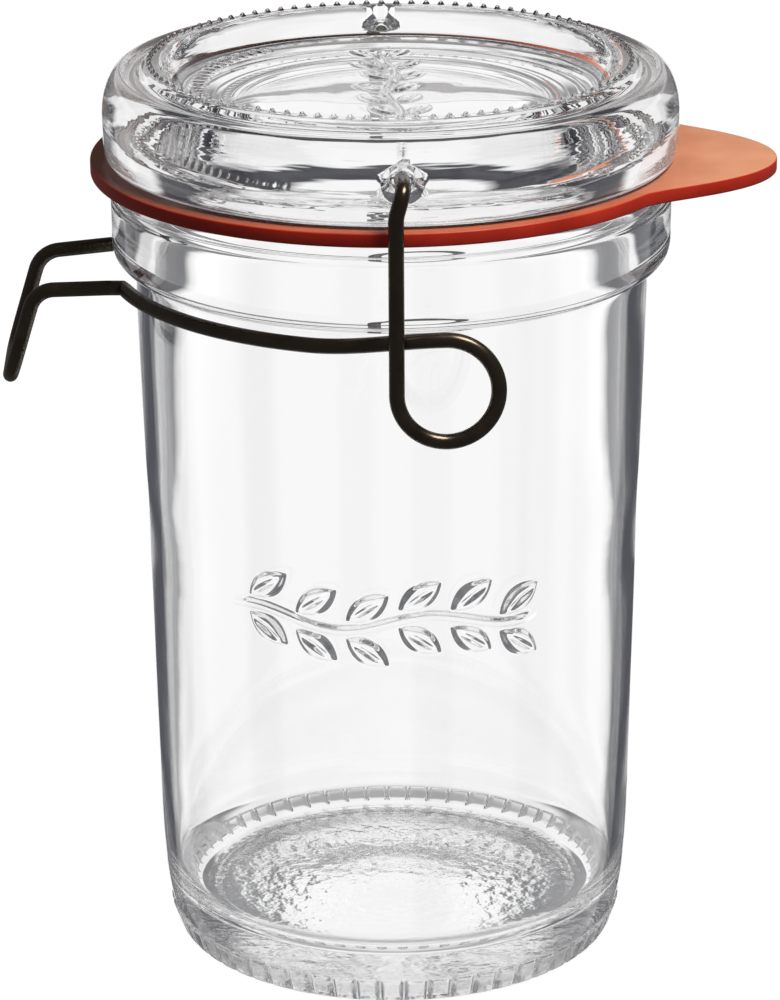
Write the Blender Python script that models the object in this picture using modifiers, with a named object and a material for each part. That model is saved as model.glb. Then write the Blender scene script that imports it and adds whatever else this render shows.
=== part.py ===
"""Bail clamp jar: a pressed glass jar and lid, a rubber ring with a pull tab, and a one-piece wire clamp.

Frame: +Z up, base of the jar on z = 0, the jar's axis on the Z axis, handle of the clamp towards -X,
tab of the ring towards +X. The clamp's pins lie along Y.
"""

from math import acos, cos, radians, sin, tan

import bpy
from mathutils import Vector

MM = 0.001
TURN_STEPS = 60
MERGE_DISTANCE = 0.00001

# Jar, outside
RING_RADIUS_IN = 34.8 * MM
RING_RADIUS_OUT = 38.0 * MM
BODY_RADIUS_LOW = 42.6 * MM
BODY_RADIUS_HIGH = 44.8 * MM
COLLAR_RADIUS = 48.9 * MM
COLLAR_BOTTOM_Z = 126.8 * MM
COLLAR_ROUNDING = 4.0 * MM
RIM_Z = 142.3 * MM

# Jar, inside
MOUTH_RADIUS = 41.7 * MM
FLOOR_Z = 6.5 * MM
PUNT_UNDER_Z = 4.4 * MM

# Rubber ring
SEAL_GAP = 0.3 * MM
SEAL_THICKNESS = 2.4 * MM
SEAL_BOTTOM_Z = RIM_Z + SEAL_GAP
SEAL_TOP_Z = SEAL_BOTTOM_Z + SEAL_THICKNESS
SEAL_INNER_RADIUS = 41.9 * MM
SEAL_OUTER_RADIUS = 51.7 * MM
SEAL_SHIFT_X = -0.5 * MM
TAB_REACH = 15.7 * MM
TAB_ANGLE = -5.9
TAB_HALF_SPAN = 30.0
TAB_FULLNESS = 1.64

# Lid
SEAT_Z = SEAL_TOP_Z + SEAL_GAP
LID_RADIUS = 50.0 * MM
LID_TOP_Z = 162.1 * MM
LID_RING_RADIUS = 41.6 * MM
DISH_Z = 157.0 * MM
CEILING_Z = 152.6 * MM
SPIGOT_RADIUS = 40.7 * MM
SPIGOT_END_Z = 139.4 * MM

# Sockets in the side of the lid, on the clamp's axis
PIVOT_Z = 152.8 * MM
SOCKET_RADIUS = 2.1 * MM
SOCKET_MOUTH_RADIUS = 3.4 * MM
SOCKET_END_Y = 45.7 * MM
SOCKET_CONE_END_Y = 48.2 * MM

# Clamp wire: centre line of one half, on the -Y side
WIRE_RADIUS = 1.3 * MM
PIN_END_Y = 46.5 * MM
ARM_Y = 54.0 * MM
RETURN_Y = 51.1 * MM
LOOP_X = 7.2 * MM
LOOP_Z = 118.2 * MM
LOOP_RADIUS = 8.45 * MM
ARM_X = LOOP_X - LOOP_RADIUS
HOOP_RADIUS = 48.6 * MM
HOOP_Z = 124.6 * MM
HOOP_START_ANGLE = 252.0
HOOP_END_ANGLE = 196.2
HANDLE_ROOT = Vector((-49.5, -13.4, 125.1)) * MM
HANDLE_BEND = Vector((-61.9, -11.8, 124.4)) * MM
HANDLE_CORNER = Vector((-67.0, -11.4, 107.8)) * MM


def start_scene():
    """Empty the scene, and return the collection for the parts and the one for the cutters."""
    for old in list(bpy.data.objects):
        bpy.data.objects.remove(old, do_unlink=True)
    parts = bpy.data.collections.new("bail_clamp_jar")
    cutters = bpy.data.collections.new("cutters")
    bpy.context.scene.collection.children.link(parts)
    bpy.context.scene.collection.children.link(cutters)
    return parts, cutters


def make_material(name, colour, roughness, metallic=0.0, transmission=0.0):
    """A Principled material in one plain colour."""
    material = bpy.data.materials.new(name)
    material.use_nodes = True
    shader = material.node_tree.nodes["Principled BSDF"]
    shader.inputs["Base Color"].default_value = (*colour, 1.0)
    shader.inputs["Roughness"].default_value = roughness
    shader.inputs["Metallic"].default_value = metallic
    shader.inputs["Transmission Weight"].default_value = transmission
    return material


def turned(name, profile, steps, collection, material=None):
    """Turn an open (radius, height) profile that starts and ends on the axis into a solid."""
    mesh = bpy.data.meshes.new(name)
    points = [(radius, 0.0, height) for radius, height in profile]
    mesh.from_pydata(points, [(i, i + 1) for i in range(len(points) - 1)], [])
    if material:
        mesh.materials.append(material)
    solid = bpy.data.objects.new(name, mesh)
    collection.objects.link(solid)
    screw = solid.modifiers.new("turn", "SCREW")
    screw.steps = steps
    screw.render_steps = steps
    screw.use_merge_vertices = True
    screw.merge_threshold = MERGE_DISTANCE
    screw.use_smooth_shade = True
    return solid


def corner_arc(centre_radius, centre_height, rounding, first, last, steps):
    """Points of a rounded corner in a turned profile, by angle from the outward direction."""
    turn = (last - first) / steps
    angles = [radians(first + turn * i) for i in range(steps + 1)]
    return [
        (centre_radius + rounding * cos(angle), centre_height + rounding * sin(angle)) for angle in angles
    ]


def jar_profile():
    """From the middle of the floor up the inside, over the rim and down the outside to the base."""
    inside = [
        (0.0, FLOOR_Z),
        (8.0 * MM, FLOOR_Z + 0.1 * MM),
        (16.0 * MM, FLOOR_Z + 0.4 * MM),
        (24.0 * MM, FLOOR_Z + 0.9 * MM),
        (30.0 * MM, FLOOR_Z + 1.5 * MM),
        (34.0 * MM, FLOOR_Z + 2.1 * MM),
        (36.6 * MM, FLOOR_Z + 2.9 * MM),
        (38.3 * MM, FLOOR_Z + 4.2 * MM),
        (39.5 * MM, FLOOR_Z + 6.4 * MM),
        (40.2 * MM, FLOOR_Z + 9.5 * MM),
        (40.6 * MM, 20.0 * MM),
        (41.1 * MM, 50.0 * MM),
        (41.1 * MM, 70.0 * MM),
        (41.6 * MM, 115.0 * MM),
        (MOUTH_RADIUS, 128.0 * MM),
        (MOUTH_RADIUS, RIM_Z - 1.2 * MM),
    ]
    rim = [
        (MOUTH_RADIUS + 1.0 * MM, RIM_Z),
        (COLLAR_RADIUS - 0.8 * MM, RIM_Z),
        (COLLAR_RADIUS, RIM_Z - 0.8 * MM),
        (COLLAR_RADIUS, RIM_Z - 2.1 * MM),
        (COLLAR_RADIUS - 0.5 * MM, RIM_Z - 2.5 * MM),
        (COLLAR_RADIUS - 0.5 * MM, RIM_Z - 3.7 * MM),
        (COLLAR_RADIUS, RIM_Z - 4.2 * MM),
    ]
    rounding = COLLAR_ROUNDING
    under_collar = corner_arc(COLLAR_RADIUS - rounding, COLLAR_BOTTOM_Z + rounding, rounding, 0, -90, 6)
    body = [
        (BODY_RADIUS_HIGH + 0.05 * MM, COLLAR_BOTTOM_Z - 0.6 * MM),
        (BODY_RADIUS_HIGH, 115.0 * MM),
        (43.6 * MM, 70.0 * MM),
        (BODY_RADIUS_LOW, 20.0 * MM),
        (42.1 * MM, 12.0 * MM),
        (41.4 * MM, 7.0 * MM),
        (40.6 * MM, 4.2 * MM),
        (39.9 * MM, 2.2 * MM),
        (39.3 * MM, 0.8 * MM),
        (RING_RADIUS_OUT, 0.0),
        (RING_RADIUS_IN, 0.0),
        (33.0 * MM, 0.8 * MM),
        (26.0 * MM, 1.7 * MM),
        (16.0 * MM, 3.0 * MM),
        (4.0 * MM, PUNT_UNDER_Z - 0.1 * MM),
        (0.0, PUNT_UNDER_Z),
    ]
    return inside + rim + under_collar + body


def lid_profile():
    """From the middle of the dish over the stacking ring and shoulder, down the side and round below."""
    stacking_ring = [
        (0.0, DISH_Z),
        (30.0 * MM, DISH_Z),
        (35.5 * MM, DISH_Z + 0.3 * MM),
        (37.6 * MM, DISH_Z + 1.8 * MM),
        (39.2 * MM, LID_TOP_Z - 1.2 * MM),
        (40.3 * MM, LID_TOP_Z - 0.3 * MM),
        (LID_RING_RADIUS, LID_TOP_Z),
        (42.6 * MM, LID_TOP_Z - 0.4 * MM),
        (43.2 * MM, LID_TOP_Z - 1.5 * MM),
        (43.9 * MM, LID_TOP_Z - 2.5 * MM),
        (44.9 * MM, LID_TOP_Z - 2.6 * MM),
        (45.8 * MM, LID_TOP_Z - 2.1 * MM),
    ]
    shoulder = [
        (46.7 * MM, LID_TOP_Z - 1.8 * MM),
        (47.5 * MM, LID_TOP_Z - 2.1 * MM),
        (48.7 * MM, LID_TOP_Z - 3.4 * MM),
        (49.6 * MM, LID_TOP_Z - 5.6 * MM),
        (LID_RADIUS, LID_TOP_Z - 8.4 * MM),
        (LID_RADIUS, PIVOT_Z - 0.8 * MM),
        (LID_RADIUS - 0.25 * MM, SEAT_Z + 1.0 * MM),
        (LID_RADIUS - 0.9 * MM, SEAT_Z),
    ]
    below = [
        (SPIGOT_RADIUS + 0.5 * MM, SEAT_Z),
        (SPIGOT_RADIUS, SEAT_Z - 0.5 * MM),
        (SPIGOT_RADIUS - 0.3 * MM, SPIGOT_END_Z + 0.8 * MM),
        (SPIGOT_RADIUS - 1.3 * MM, SPIGOT_END_Z),
        (SPIGOT_RADIUS - 3.1 * MM, SPIGOT_END_Z + 0.2 * MM),
        (SPIGOT_RADIUS - 4.1 * MM, SPIGOT_END_Z + 2.1 * MM),
        (36.1 * MM, CEILING_Z - 8.6 * MM),
        (35.4 * MM, CEILING_Z - 7.0 * MM),
        (34.0 * MM, CEILING_Z - 5.1 * MM),
        (31.7 * MM, CEILING_Z - 3.1 * MM),
        (28.6 * MM, CEILING_Z - 1.6 * MM),
        (25.0 * MM, CEILING_Z - 0.65 * MM),
        (20.0 * MM, CEILING_Z - 0.2 * MM),
        (0.0, CEILING_Z),
    ]
    return stacking_ring + shoulder + below


def socket_profile():
    """A blind hole with a conical mouth, along its own axis, from outside the lid to its blind end."""
    return [
        (0.0, LID_RADIUS + 1.0 * MM),
        (SOCKET_MOUTH_RADIUS, LID_RADIUS + 1.0 * MM),
        (SOCKET_MOUTH_RADIUS, LID_RADIUS - 0.1 * MM),
        (SOCKET_RADIUS, SOCKET_CONE_END_Y),
        (SOCKET_RADIUS, SOCKET_END_Y),
        (0.0, SOCKET_END_Y),
    ]


def make_jar(parts, glass):
    return turned("jar_body", jar_profile(), TURN_STEPS, parts, glass)


def make_lid(parts, cutters, glass):
    """The lid, with a socket cut in its side on each end of the clamp's axis."""
    lid = turned("lid", lid_profile(), TURN_STEPS, parts, glass)
    for name, tilt in (("socket_front", 90.0), ("socket_back", -90.0)):
        cutter = turned(name, socket_profile(), 24, cutters)
        cutter.location = (0.0, 0.0, PIVOT_Z)
        cutter.rotation_euler = (radians(tilt), 0.0, 0.0)
        cutter.hide_render = True
        cutter.display_type = "WIRE"
        cut = lid.modifiers.new(name, "BOOLEAN")
        cut.operation = "DIFFERENCE"
        cut.object = cutter
    return lid


def seal_outline(angle):
    """Radius of the rubber ring's outer edge, which swells into the pull tab."""
    off_tab = angle - TAB_ANGLE
    if abs(off_tab) >= TAB_HALF_SPAN:
        return SEAL_OUTER_RADIUS
    swell = cos(radians(90.0 * off_tab / TAB_HALF_SPAN))
    return SEAL_OUTER_RADIUS + TAB_REACH * swell**TAB_FULLNESS


def make_gasket(parts, rubber):
    """A flat ring with a pull tab, drawn as a 2D outline with a hole."""
    outline = bpy.data.curves.new("gasket", "CURVE")
    outline.dimensions = "2D"
    outline.fill_mode = "BOTH"
    outline.extrude = SEAL_THICKNESS / 2
    steps = 120
    angles = [360.0 * i / steps - 180.0 for i in range(steps)]
    for radius_at in (seal_outline, lambda angle: SEAL_INNER_RADIUS):
        spline = outline.splines.new("POLY")
        spline.points.add(steps - 1)
        spline.use_cyclic_u = True
        for point, angle in zip(spline.points, angles):
            radius = radius_at(angle)
            point.co = (radius * cos(radians(angle)), radius * sin(radians(angle)), 0.0, 1.0)
    outline.materials.append(rubber)
    gasket = bpy.data.objects.new("gasket", outline)
    gasket.location = (SEAL_SHIFT_X, 0.0, SEAL_BOTTOM_Z + SEAL_THICKNESS / 2)
    parts.objects.link(gasket)
    return gasket


def rounded_path(corners, radii, steps=6):
    """Straight runs joined by bends: one radius for each corner between the first and last point."""
    path = [corners[0]]
    for before, corner, after, radius in zip(corners, corners[1:], corners[2:], radii):
        back = (before - corner).normalized()
        ahead = (after - corner).normalized()
        opening = acos(max(-1.0, min(1.0, back.dot(ahead))))
        centre = corner + (back + ahead).normalized() * (radius / sin(opening / 2))
        reach = radius / tan(opening / 2)
        first = (corner + back * reach - centre).normalized()
        last = (corner + ahead * reach - centre).normalized()
        path += [centre + first.slerp(last, i / steps) * radius for i in range(steps + 1)]
    path.append(corners[-1])
    return path


def hermite(start, start_slope, end, end_slope, share):
    """A point on the smooth curve between two points with the given slopes."""
    square = share * share
    cube = square * share
    return (
        start * (2 * cube - 3 * square + 1)
        + start_slope * (cube - 2 * square + share)
        + end * (3 * square - 2 * cube)
        + end_slope * (cube - square)
    )


def hoop_point(angle):
    """The hoop lies below the collar and rises a little towards the handle."""
    share = (HOOP_START_ANGLE - angle) / (HOOP_START_ANGLE - HOOP_END_ANGLE)
    turn = radians(angle)
    return Vector((HOOP_RADIUS * cos(turn), HOOP_RADIUS * sin(turn), HOOP_Z + 0.5 * MM * share))


def half_wire():
    """Centre line from the front pin to the middle of the handle."""
    pin_and_arm = rounded_path(
        [
            Vector((0.0, -PIN_END_Y, PIVOT_Z)),
            Vector((0.0, -ARM_Y, PIVOT_Z)),
            Vector((ARM_X, -ARM_Y, PIVOT_Z - 4.5 * MM)),
            Vector((ARM_X, -ARM_Y, LOOP_Z)),
        ],
        [2.3 * MM, 6.0 * MM],
    )
    loop_steps = 27
    loop = []
    for i in range(1, loop_steps + 1):
        share = i / loop_steps
        turn = radians(180.0 + 270.0 * share)
        across = -ARM_Y + (ARM_Y - RETURN_Y) * share
        loop.append(Vector((LOOP_X + LOOP_RADIUS * cos(turn), across, LOOP_Z + LOOP_RADIUS * sin(turn))))
    start = loop[-1]
    end = hoop_point(HOOP_START_ANGLE)
    run = (end - start).length
    join_turn = radians(HOOP_START_ANGLE)
    start_slope = Vector((-run, 0.0, 0.0))
    end_slope = Vector((sin(join_turn), -cos(join_turn), 0.0)) * run
    joins = 12
    to_hoop = [hermite(start, start_slope, end, end_slope, i / joins) for i in range(1, joins + 1)]
    hoop_steps = 14
    hoop_turn = (HOOP_END_ANGLE - HOOP_START_ANGLE) / hoop_steps
    hoop = [hoop_point(HOOP_START_ANGLE + hoop_turn * i) for i in range(1, hoop_steps + 1)]
    middle = Vector((HANDLE_CORNER.x, 0.0, HANDLE_CORNER.z))
    handle = rounded_path(
        [hoop[-1], HANDLE_ROOT, HANDLE_BEND, HANDLE_CORNER, middle],
        [3.5 * MM, 4.6 * MM, 5.0 * MM],
    )
    return pin_and_arm + loop + to_hoop + hoop + handle[1:]


def make_clamp(parts, steel):
    """One bent wire, the same on both sides, that turns with an empty on the lid's sockets."""
    front = half_wire()
    back = [Vector((point.x, -point.y, point.z)) for point in reversed(front[:-1])]
    path = front + back
    curve = bpy.data.curves.new("clamp_wire", "CURVE")
    curve.dimensions = "3D"
    curve.bevel_depth = WIRE_RADIUS
    curve.bevel_resolution = 2
    curve.use_fill_caps = True
    spline = curve.splines.new("POLY")
    spline.points.add(len(path) - 1)
    for slot, point in zip(spline.points, path):
        slot.co = (point.x, point.y, point.z - PIVOT_Z, 1.0)
        slot.radius = 1.0
    curve.materials.append(steel)
    pivot = bpy.data.objects.new("clamp_pivot", None)
    pivot.location = (0.0, 0.0, PIVOT_Z)
    parts.objects.link(pivot)
    clamp = bpy.data.objects.new("clamp_wire", curve)
    clamp.parent = pivot
    parts.objects.link(clamp)
    return clamp


def main():
    parts, cutters = start_scene()
    glass = make_material("clear_glass", (0.93, 0.95, 0.95), 0.02, transmission=1.0)
    rubber = make_material("red_rubber", (0.62, 0.13, 0.05), 0.45)
    steel = make_material("bronzed_wire", (0.045, 0.036, 0.028), 0.35, metallic=0.9)
    make_jar(parts, glass)
    make_lid(parts, cutters, glass)
    make_gasket(parts, rubber)
    make_clamp(parts, steel)


main()
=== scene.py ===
"""Looks of the bail clamp jar: pressed glass jar and lid, rubber ring with a tab, one-piece wire clamp."""

from math import acos, ceil, cos, pi, radians, sin, tan

import bmesh
import bpy
import numpy as np
from mathutils import Matrix, Vector


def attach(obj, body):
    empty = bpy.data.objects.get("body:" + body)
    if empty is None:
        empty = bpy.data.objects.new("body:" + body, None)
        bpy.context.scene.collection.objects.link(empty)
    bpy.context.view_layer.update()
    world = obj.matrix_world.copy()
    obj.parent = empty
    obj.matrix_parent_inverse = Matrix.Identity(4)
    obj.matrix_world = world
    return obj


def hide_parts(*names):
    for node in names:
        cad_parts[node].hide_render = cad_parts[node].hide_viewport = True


MM = 0.001
ON_AXIS = 0.0001 * MM

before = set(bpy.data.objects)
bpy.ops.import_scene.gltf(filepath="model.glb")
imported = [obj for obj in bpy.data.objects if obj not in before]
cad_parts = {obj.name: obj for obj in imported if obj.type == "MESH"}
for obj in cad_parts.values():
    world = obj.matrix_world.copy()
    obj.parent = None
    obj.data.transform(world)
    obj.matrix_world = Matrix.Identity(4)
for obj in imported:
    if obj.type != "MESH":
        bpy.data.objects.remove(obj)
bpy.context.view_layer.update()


# ---------------------------------------------------------------- meshes


def rounded(points, rounds=2):
    """Corner cutting: a smooth line that follows an open polygon and keeps its two ends."""
    line = np.array(points, float)
    for _ in range(rounds):
        near = line[:-1] * 0.75 + line[1:] * 0.25
        far = line[:-1] * 0.25 + line[1:] * 0.75
        cut = np.empty((2 * len(near), line.shape[1]))
        cut[0::2] = near
        cut[1::2] = far
        line = np.vstack([line[:1], cut, line[-1:]])
    return line


def spaced(points, step):
    """Points at most one step apart along a line, its own corners kept."""
    line = [np.array(points[0], float)]
    for start, end in zip(points[:-1], points[1:]):
        start = np.array(start, float)
        end = np.array(end, float)
        parts = max(1, ceil(np.linalg.norm(end - start) / step))
        line += [start + (end - start) * i / parts for i in range(1, parts + 1)]
    return np.array(line)


def thinned(line, tolerance=0.012):
    """The same line without the points that lie within a tolerance of the ones kept."""
    kept = [0]
    end = 1
    while end < len(line):
        start = line[kept[-1]]
        following = min(end + 1, len(line) - 1)
        chord = (line[following] - start) / max(np.linalg.norm(line[following] - start), 1e-9)
        off = line[kept[-1] + 1 : following] - start
        away = np.abs(off[:, 0] * chord[1] - off[:, 1] * chord[0])
        if following == end or away.max() > tolerance:
            kept.append(end)
        end += 1
    return line[kept]


def even_angles(count):
    """Angles evenly round a full turn, from 0."""
    return np.arange(count) * 2 * pi / count


def angle_after(angles, index):
    """The angle that follows in a closed ring, one full turn on after the last."""
    if index + 1 < len(angles):
        return angles[index + 1]
    return angles[0] + 2 * pi


def zip_rings(first, first_angles, second, second_angles):
    """Faces between two closed rings of vertices that needn't have the same angles."""
    n = len(first)
    m = len(second)
    if n == m and np.allclose(first_angles, second_angles):
        return [(first[i], second[i], second[(i + 1) % n], first[(i + 1) % n]) for i in range(n)]
    faces = []
    i = 0
    j = 0
    while i < n or j < m:
        second_is_next = angle_after(second_angles, j) <= angle_after(first_angles, i)
        if j < m and (i >= n or second_is_next):
            faces.append((first[i % n], second[j % m], second[(j + 1) % m]))
            j += 1
        else:
            faces.append((first[i % n], second[j % m], first[(i + 1) % n]))
            i += 1
    return faces


def new_piece(name, vertices, faces):
    """A smooth-shaded object in the scene."""
    mesh = bpy.data.meshes.new(name)
    mesh.from_pydata(vertices, [], faces)
    mesh.polygons.foreach_set("use_smooth", [True] * len(mesh.polygons))
    piece = bpy.data.objects.new(name, mesh)
    bpy.context.scene.collection.objects.link(piece)
    return piece


def fan(centre, ring):
    """Triangles from one vertex to a closed ring."""
    return [(centre, ring[i], ring[(i + 1) % len(ring)]) for i in range(len(ring))]


def lathe(name, profile, angles_at, shape):
    """Turn a (radius, height) line about Z. angles_at gives a ring's angles, shape its relief."""
    vertices = []
    faces = []
    before = None
    count = 0
    for index, (radius, height) in enumerate(profile):
        if radius < ON_AXIS:
            ring = [count]
            angles = None
            vertices.append(np.array([[0.0, 0.0, height]]))
        else:
            angles = angles_at(index, radius, height)
            r, z = shape(index, np.full(len(angles), radius), np.full(len(angles), height), angles)
            ring = list(range(count, count + len(angles)))
            vertices.append(np.column_stack([r * np.cos(angles), r * np.sin(angles), z]))
        count += len(ring)
        if before:
            old_ring, old_angles = before
            if old_angles is None:
                faces += fan(old_ring[0], ring)
            elif angles is None:
                faces += [(near, centre, far) for centre, near, far in fan(ring[0], old_ring)]
            else:
                faces += zip_rings(old_ring, old_angles, ring, angles)
        before = (ring, angles)
    solid = new_piece(name, np.vstack(vertices).tolist(), faces)
    solid.data.validate()
    return solid


def weld(mesh, distance=0.005 * MM):
    """Join the vertices that all but coincide, and drop the faces that this leaves without area."""
    work = bmesh.new()
    work.from_mesh(mesh)
    bmesh.ops.remove_doubles(work, verts=work.verts, dist=distance)
    bmesh.ops.dissolve_degenerate(work, dist=distance / 10, edges=work.edges)
    work.to_mesh(mesh)
    work.free()


def waves(seed, terms):
    """A smooth, seeded sum of waves round the axis and along it: (angle, height) to -1..1."""
    rng = np.random.default_rng(seed)
    parts = []
    for around, along in terms:
        phase = rng.uniform(0, 2 * pi)
        lift = rng.uniform(0, 2 * pi)
        weight = rng.uniform(0.5, 1.0)
        parts.append((around, along, phase, lift, weight))

    def value(angle, height):
        total = sum(
            weight * np.sin(around * angle + phase) * np.sin(along * height / MM + lift)
            for around, along, phase, lift, weight in parts
        )
        return total / len(parts)

    return value


# ---------------------------------------------------------------- relief

LEAF_POINT = 1.02
LEAF_SLOPE = 0.55
RIB_WIDTH = 0.60
RIB_DEPTH = 0.8
STEM_RISE = 0.9
LEAF_PAIRS = 6
PITCHES_BEFORE = 0.6
PITCHES_OVER = 0.25

# Shares of a sprig's length along it, and of its spread across it.
LEAF_LENGTH = 0.165
LEAF_WIDTH = 0.38
LEAF_SIDE = 0.29
LEAF_AHEAD = 0.035
STEM_SWAY = 0.10
STEM_WAVE = 0.55
STEM_WIDTH = 0.19
STEM_END = 0.06

LEAF_TILT = radians(34)
DASH_FADE = 0.02


def bump(distance, width):
    """1 on a line, falling smoothly to 0 at a distance of half its width."""
    share = np.clip(1 - np.abs(distance) / (width / 2), 0, 1)
    return share * share * (3 - 2 * share)


def leaf(u, v, centre_u, centre_v, length, width, tilt):
    """Raised leaf: an oval with pointed ends and a sunken midrib."""
    c, s = cos(tilt), sin(tilt)
    along = ((u - centre_u) * c + (v - centre_v) * s) / (length / 2)
    across = (-(u - centre_u) * s + (v - centre_v) * c) / (width / 2)
    inside = 1 - along * along - np.abs(across) * LEAF_POINT
    edge = np.clip(inside / LEAF_SLOPE, 0, 1)
    rib = bump(across, RIB_WIDTH) * np.clip(1 - np.abs(along), 0, 1)
    return edge * edge * (3 - 2 * edge) - RIB_DEPTH * rib * edge


def sprig(u, v, length, spread):
    """A plain stem with pairs of leaves, along u."""
    half = length / 2

    def stem_v(place):
        return STEM_SWAY * spread * np.sin(place * 2 * pi / (STEM_WAVE * length))

    inside = np.clip((half - np.abs(u)) / (STEM_END * length), 0, 1)
    height = STEM_RISE * bump(v - stem_v(u), STEM_WIDTH * spread) * inside
    for i in range(LEAF_PAIRS):
        place = -half + length * (i + PITCHES_BEFORE) / (LEAF_PAIRS + PITCHES_OVER)
        for side in (-1, 1):
            blade = leaf(
                u,
                v,
                centre_u=place + LEAF_AHEAD * length,
                centre_v=stem_v(place) + side * LEAF_SIDE * spread,
                length=LEAF_LENGTH * length,
                width=LEAF_WIDTH * spread,
                tilt=side * LEAF_TILT,
            )
            height = np.maximum(height, blade)
    return height


def dashes(angles, radius, pitch, width, start, end):
    """A run of short raised strokes round a ring, between two angles in degrees."""
    along = (np.degrees(angles) % 360 - start) / (end - start)
    place = np.radians(np.degrees(angles) % 360) * radius
    off = (place + pitch / 2) % pitch - pitch / 2
    ends = np.clip(along / DASH_FADE, 0, 1) * np.clip((1 - along) / DASH_FADE, 0, 1)
    return bump(off, width) * ends


# ---------------------------------------------------------------- jar

BASE_ANGLES = 200
STIPPLE_TOP_Z = 5.0 * MM
STIPPLE_LOW = 0.05
STIPPLE_HIGH = 0.22
STIPPLE_RADIUS = 36.6 * MM
FLUTES = 60
FLUTE_STEPS = 12
HEEL_ANGLES = FLUTES * FLUTE_STEPS
FLUTE_BOTTOM_Z = 0.35 * MM
FLUTE_TOP_Z = 5.2 * MM
FLUTE_DEPTH = 0.45 * MM
FLUTE_WIDTH = 1.1 * MM
FLUTE_RADIUS = 40.0 * MM
FLUTE_BOTTOM_FADE = 0.5 * MM
FLUTE_TOP_FADE = 0.35 * MM
BLOCK_RISE = 0.45 * MM
EMBLEM_Z = 73.8 * MM
EMBLEM_LENGTH = 56.0 * MM
EMBLEM_SPREAD = 13.8 * MM
EMBLEM_RISE = 1.0 * MM
EMBLEM_ANGLE = radians(-94.4)
EMBLEM_RADIUS = 43.6 * MM
EMBLEM_HALF_HEIGHT = 0.66 * EMBLEM_SPREAD
EMBLEM_MARGIN = radians(2)
EMBLEM_COLUMNS = 260
CARVED_GAP = radians(0.7)

# Ripples of pressed glass. Heights and runs are in millimetres.
INNER_WAVES = [(2, 0.06), (3, 0.09), (4, 0.14), (1, 0.04)]
INNER_WAVE_SEED = 7
INNER_WAVE_DEPTH = 0.10 * MM
INNER_WAVE_SPAN = (9, 138)
OUTER_WAVES = [(2, 0.03), (3, 0.07), (6, 0.10)]
OUTER_WAVE_SEED = 19
OUTER_WAVE_DEPTH = 0.03 * MM
OUTER_WAVE_SPAN = (8, 120)
WAVE_RISE_RUN = 10
WAVE_FALL_RUN = 12

# Longest steps between the rings of the mesh, in millimetres.
INSIDE_STEP = 4.5
RIM_STEP = 1.6
OUTSIDE_STEP = 2.8
EMBLEM_STEP = 0.25
HEEL_STEP = 0.34
UNDER_STEP = 2.4

# Outlines of the jar: (radius, height) in millimetres.
JAR_INSIDE = [
    (0.0, 6.5),
    (8.0, 6.6),
    (16.0, 6.9),
    (24.0, 7.4),
    (30.0, 8.0),
    (34.0, 8.6),
    (36.8, 9.4),
    (38.6, 10.7),
    (39.6, 12.5),
    (40.2, 14.8),
    (40.6, 20.0),
    (40.9, 30.0),
    (41.1, 50.0),
    (41.1, 70.0),
    (41.3, 92.0),
    (41.6, 115.0),
    (41.7, 128.0),
    (41.7, 139.9),
    (41.8, 141.1),
    (42.2, 142.0),
    (42.6, 142.3),
]
JAR_RIM = [
    (45.0, 142.3),
    (47.6, 142.3),
    (48.5, 142.2),
    (48.9, 141.6),
    (48.9, 140.5),
    (48.75, 139.9),
    (48.4, 139.7),
    (48.4, 138.7),
    (48.75, 138.5),
    (48.9, 137.9),
    (48.9, 135.0),
    (48.9, 132.0),
    (48.9, 130.3),
    (48.6, 128.6),
    (47.6, 127.3),
    (46.2, 126.7),
    (45.2, 126.5),
    (44.88, 125.6),
    (44.85, 122.0),
]
JAR_OUTSIDE = [
    (44.8, 115.0),
    (44.2, 92.0),
    (43.7, 82.6),
    (43.6, 70.0),
    (43.1, 45.0),
    (42.85, 30.0),
    (42.6, 20.0),
    (42.35, 16.0),
    (42.1, 12.0),
    (41.75, 9.0),
    (41.4, 7.0),
    (41.1, 5.9),
]
JAR_HEEL = [
    (40.9, 5.1),
    (40.65, 4.3),
    (40.3, 3.3),
    (39.95, 2.2),
    (39.6, 1.2),
    (39.2, 0.6),
    (38.6, 0.15),
    (37.9, 0.0),
]
JAR_UNDER = [
    (36.5, 0.0),
    (35.0, 0.0),
    (33.9, 0.3),
    (33.0, 0.8),
    (30.0, 1.3),
    (26.0, 1.7),
    (22.0, 2.2),
    (16.0, 3.0),
    (10.0, 3.8),
    (4.0, 4.3),
    (0.0, 4.4),
]


def smooth_run(points, step):
    """The smooth line through a run of an outline, with points at most a step apart."""
    return spaced(thinned(rounded(points)), step)


def wave_fade(height, span):
    """1 inside a span of heights, falling to 0 towards both of its ends."""
    low, high = span
    return np.clip((height - low) / WAVE_RISE_RUN, 0, 1) * np.clip((high - height) / WAVE_FALL_RUN, 0, 1)


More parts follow.
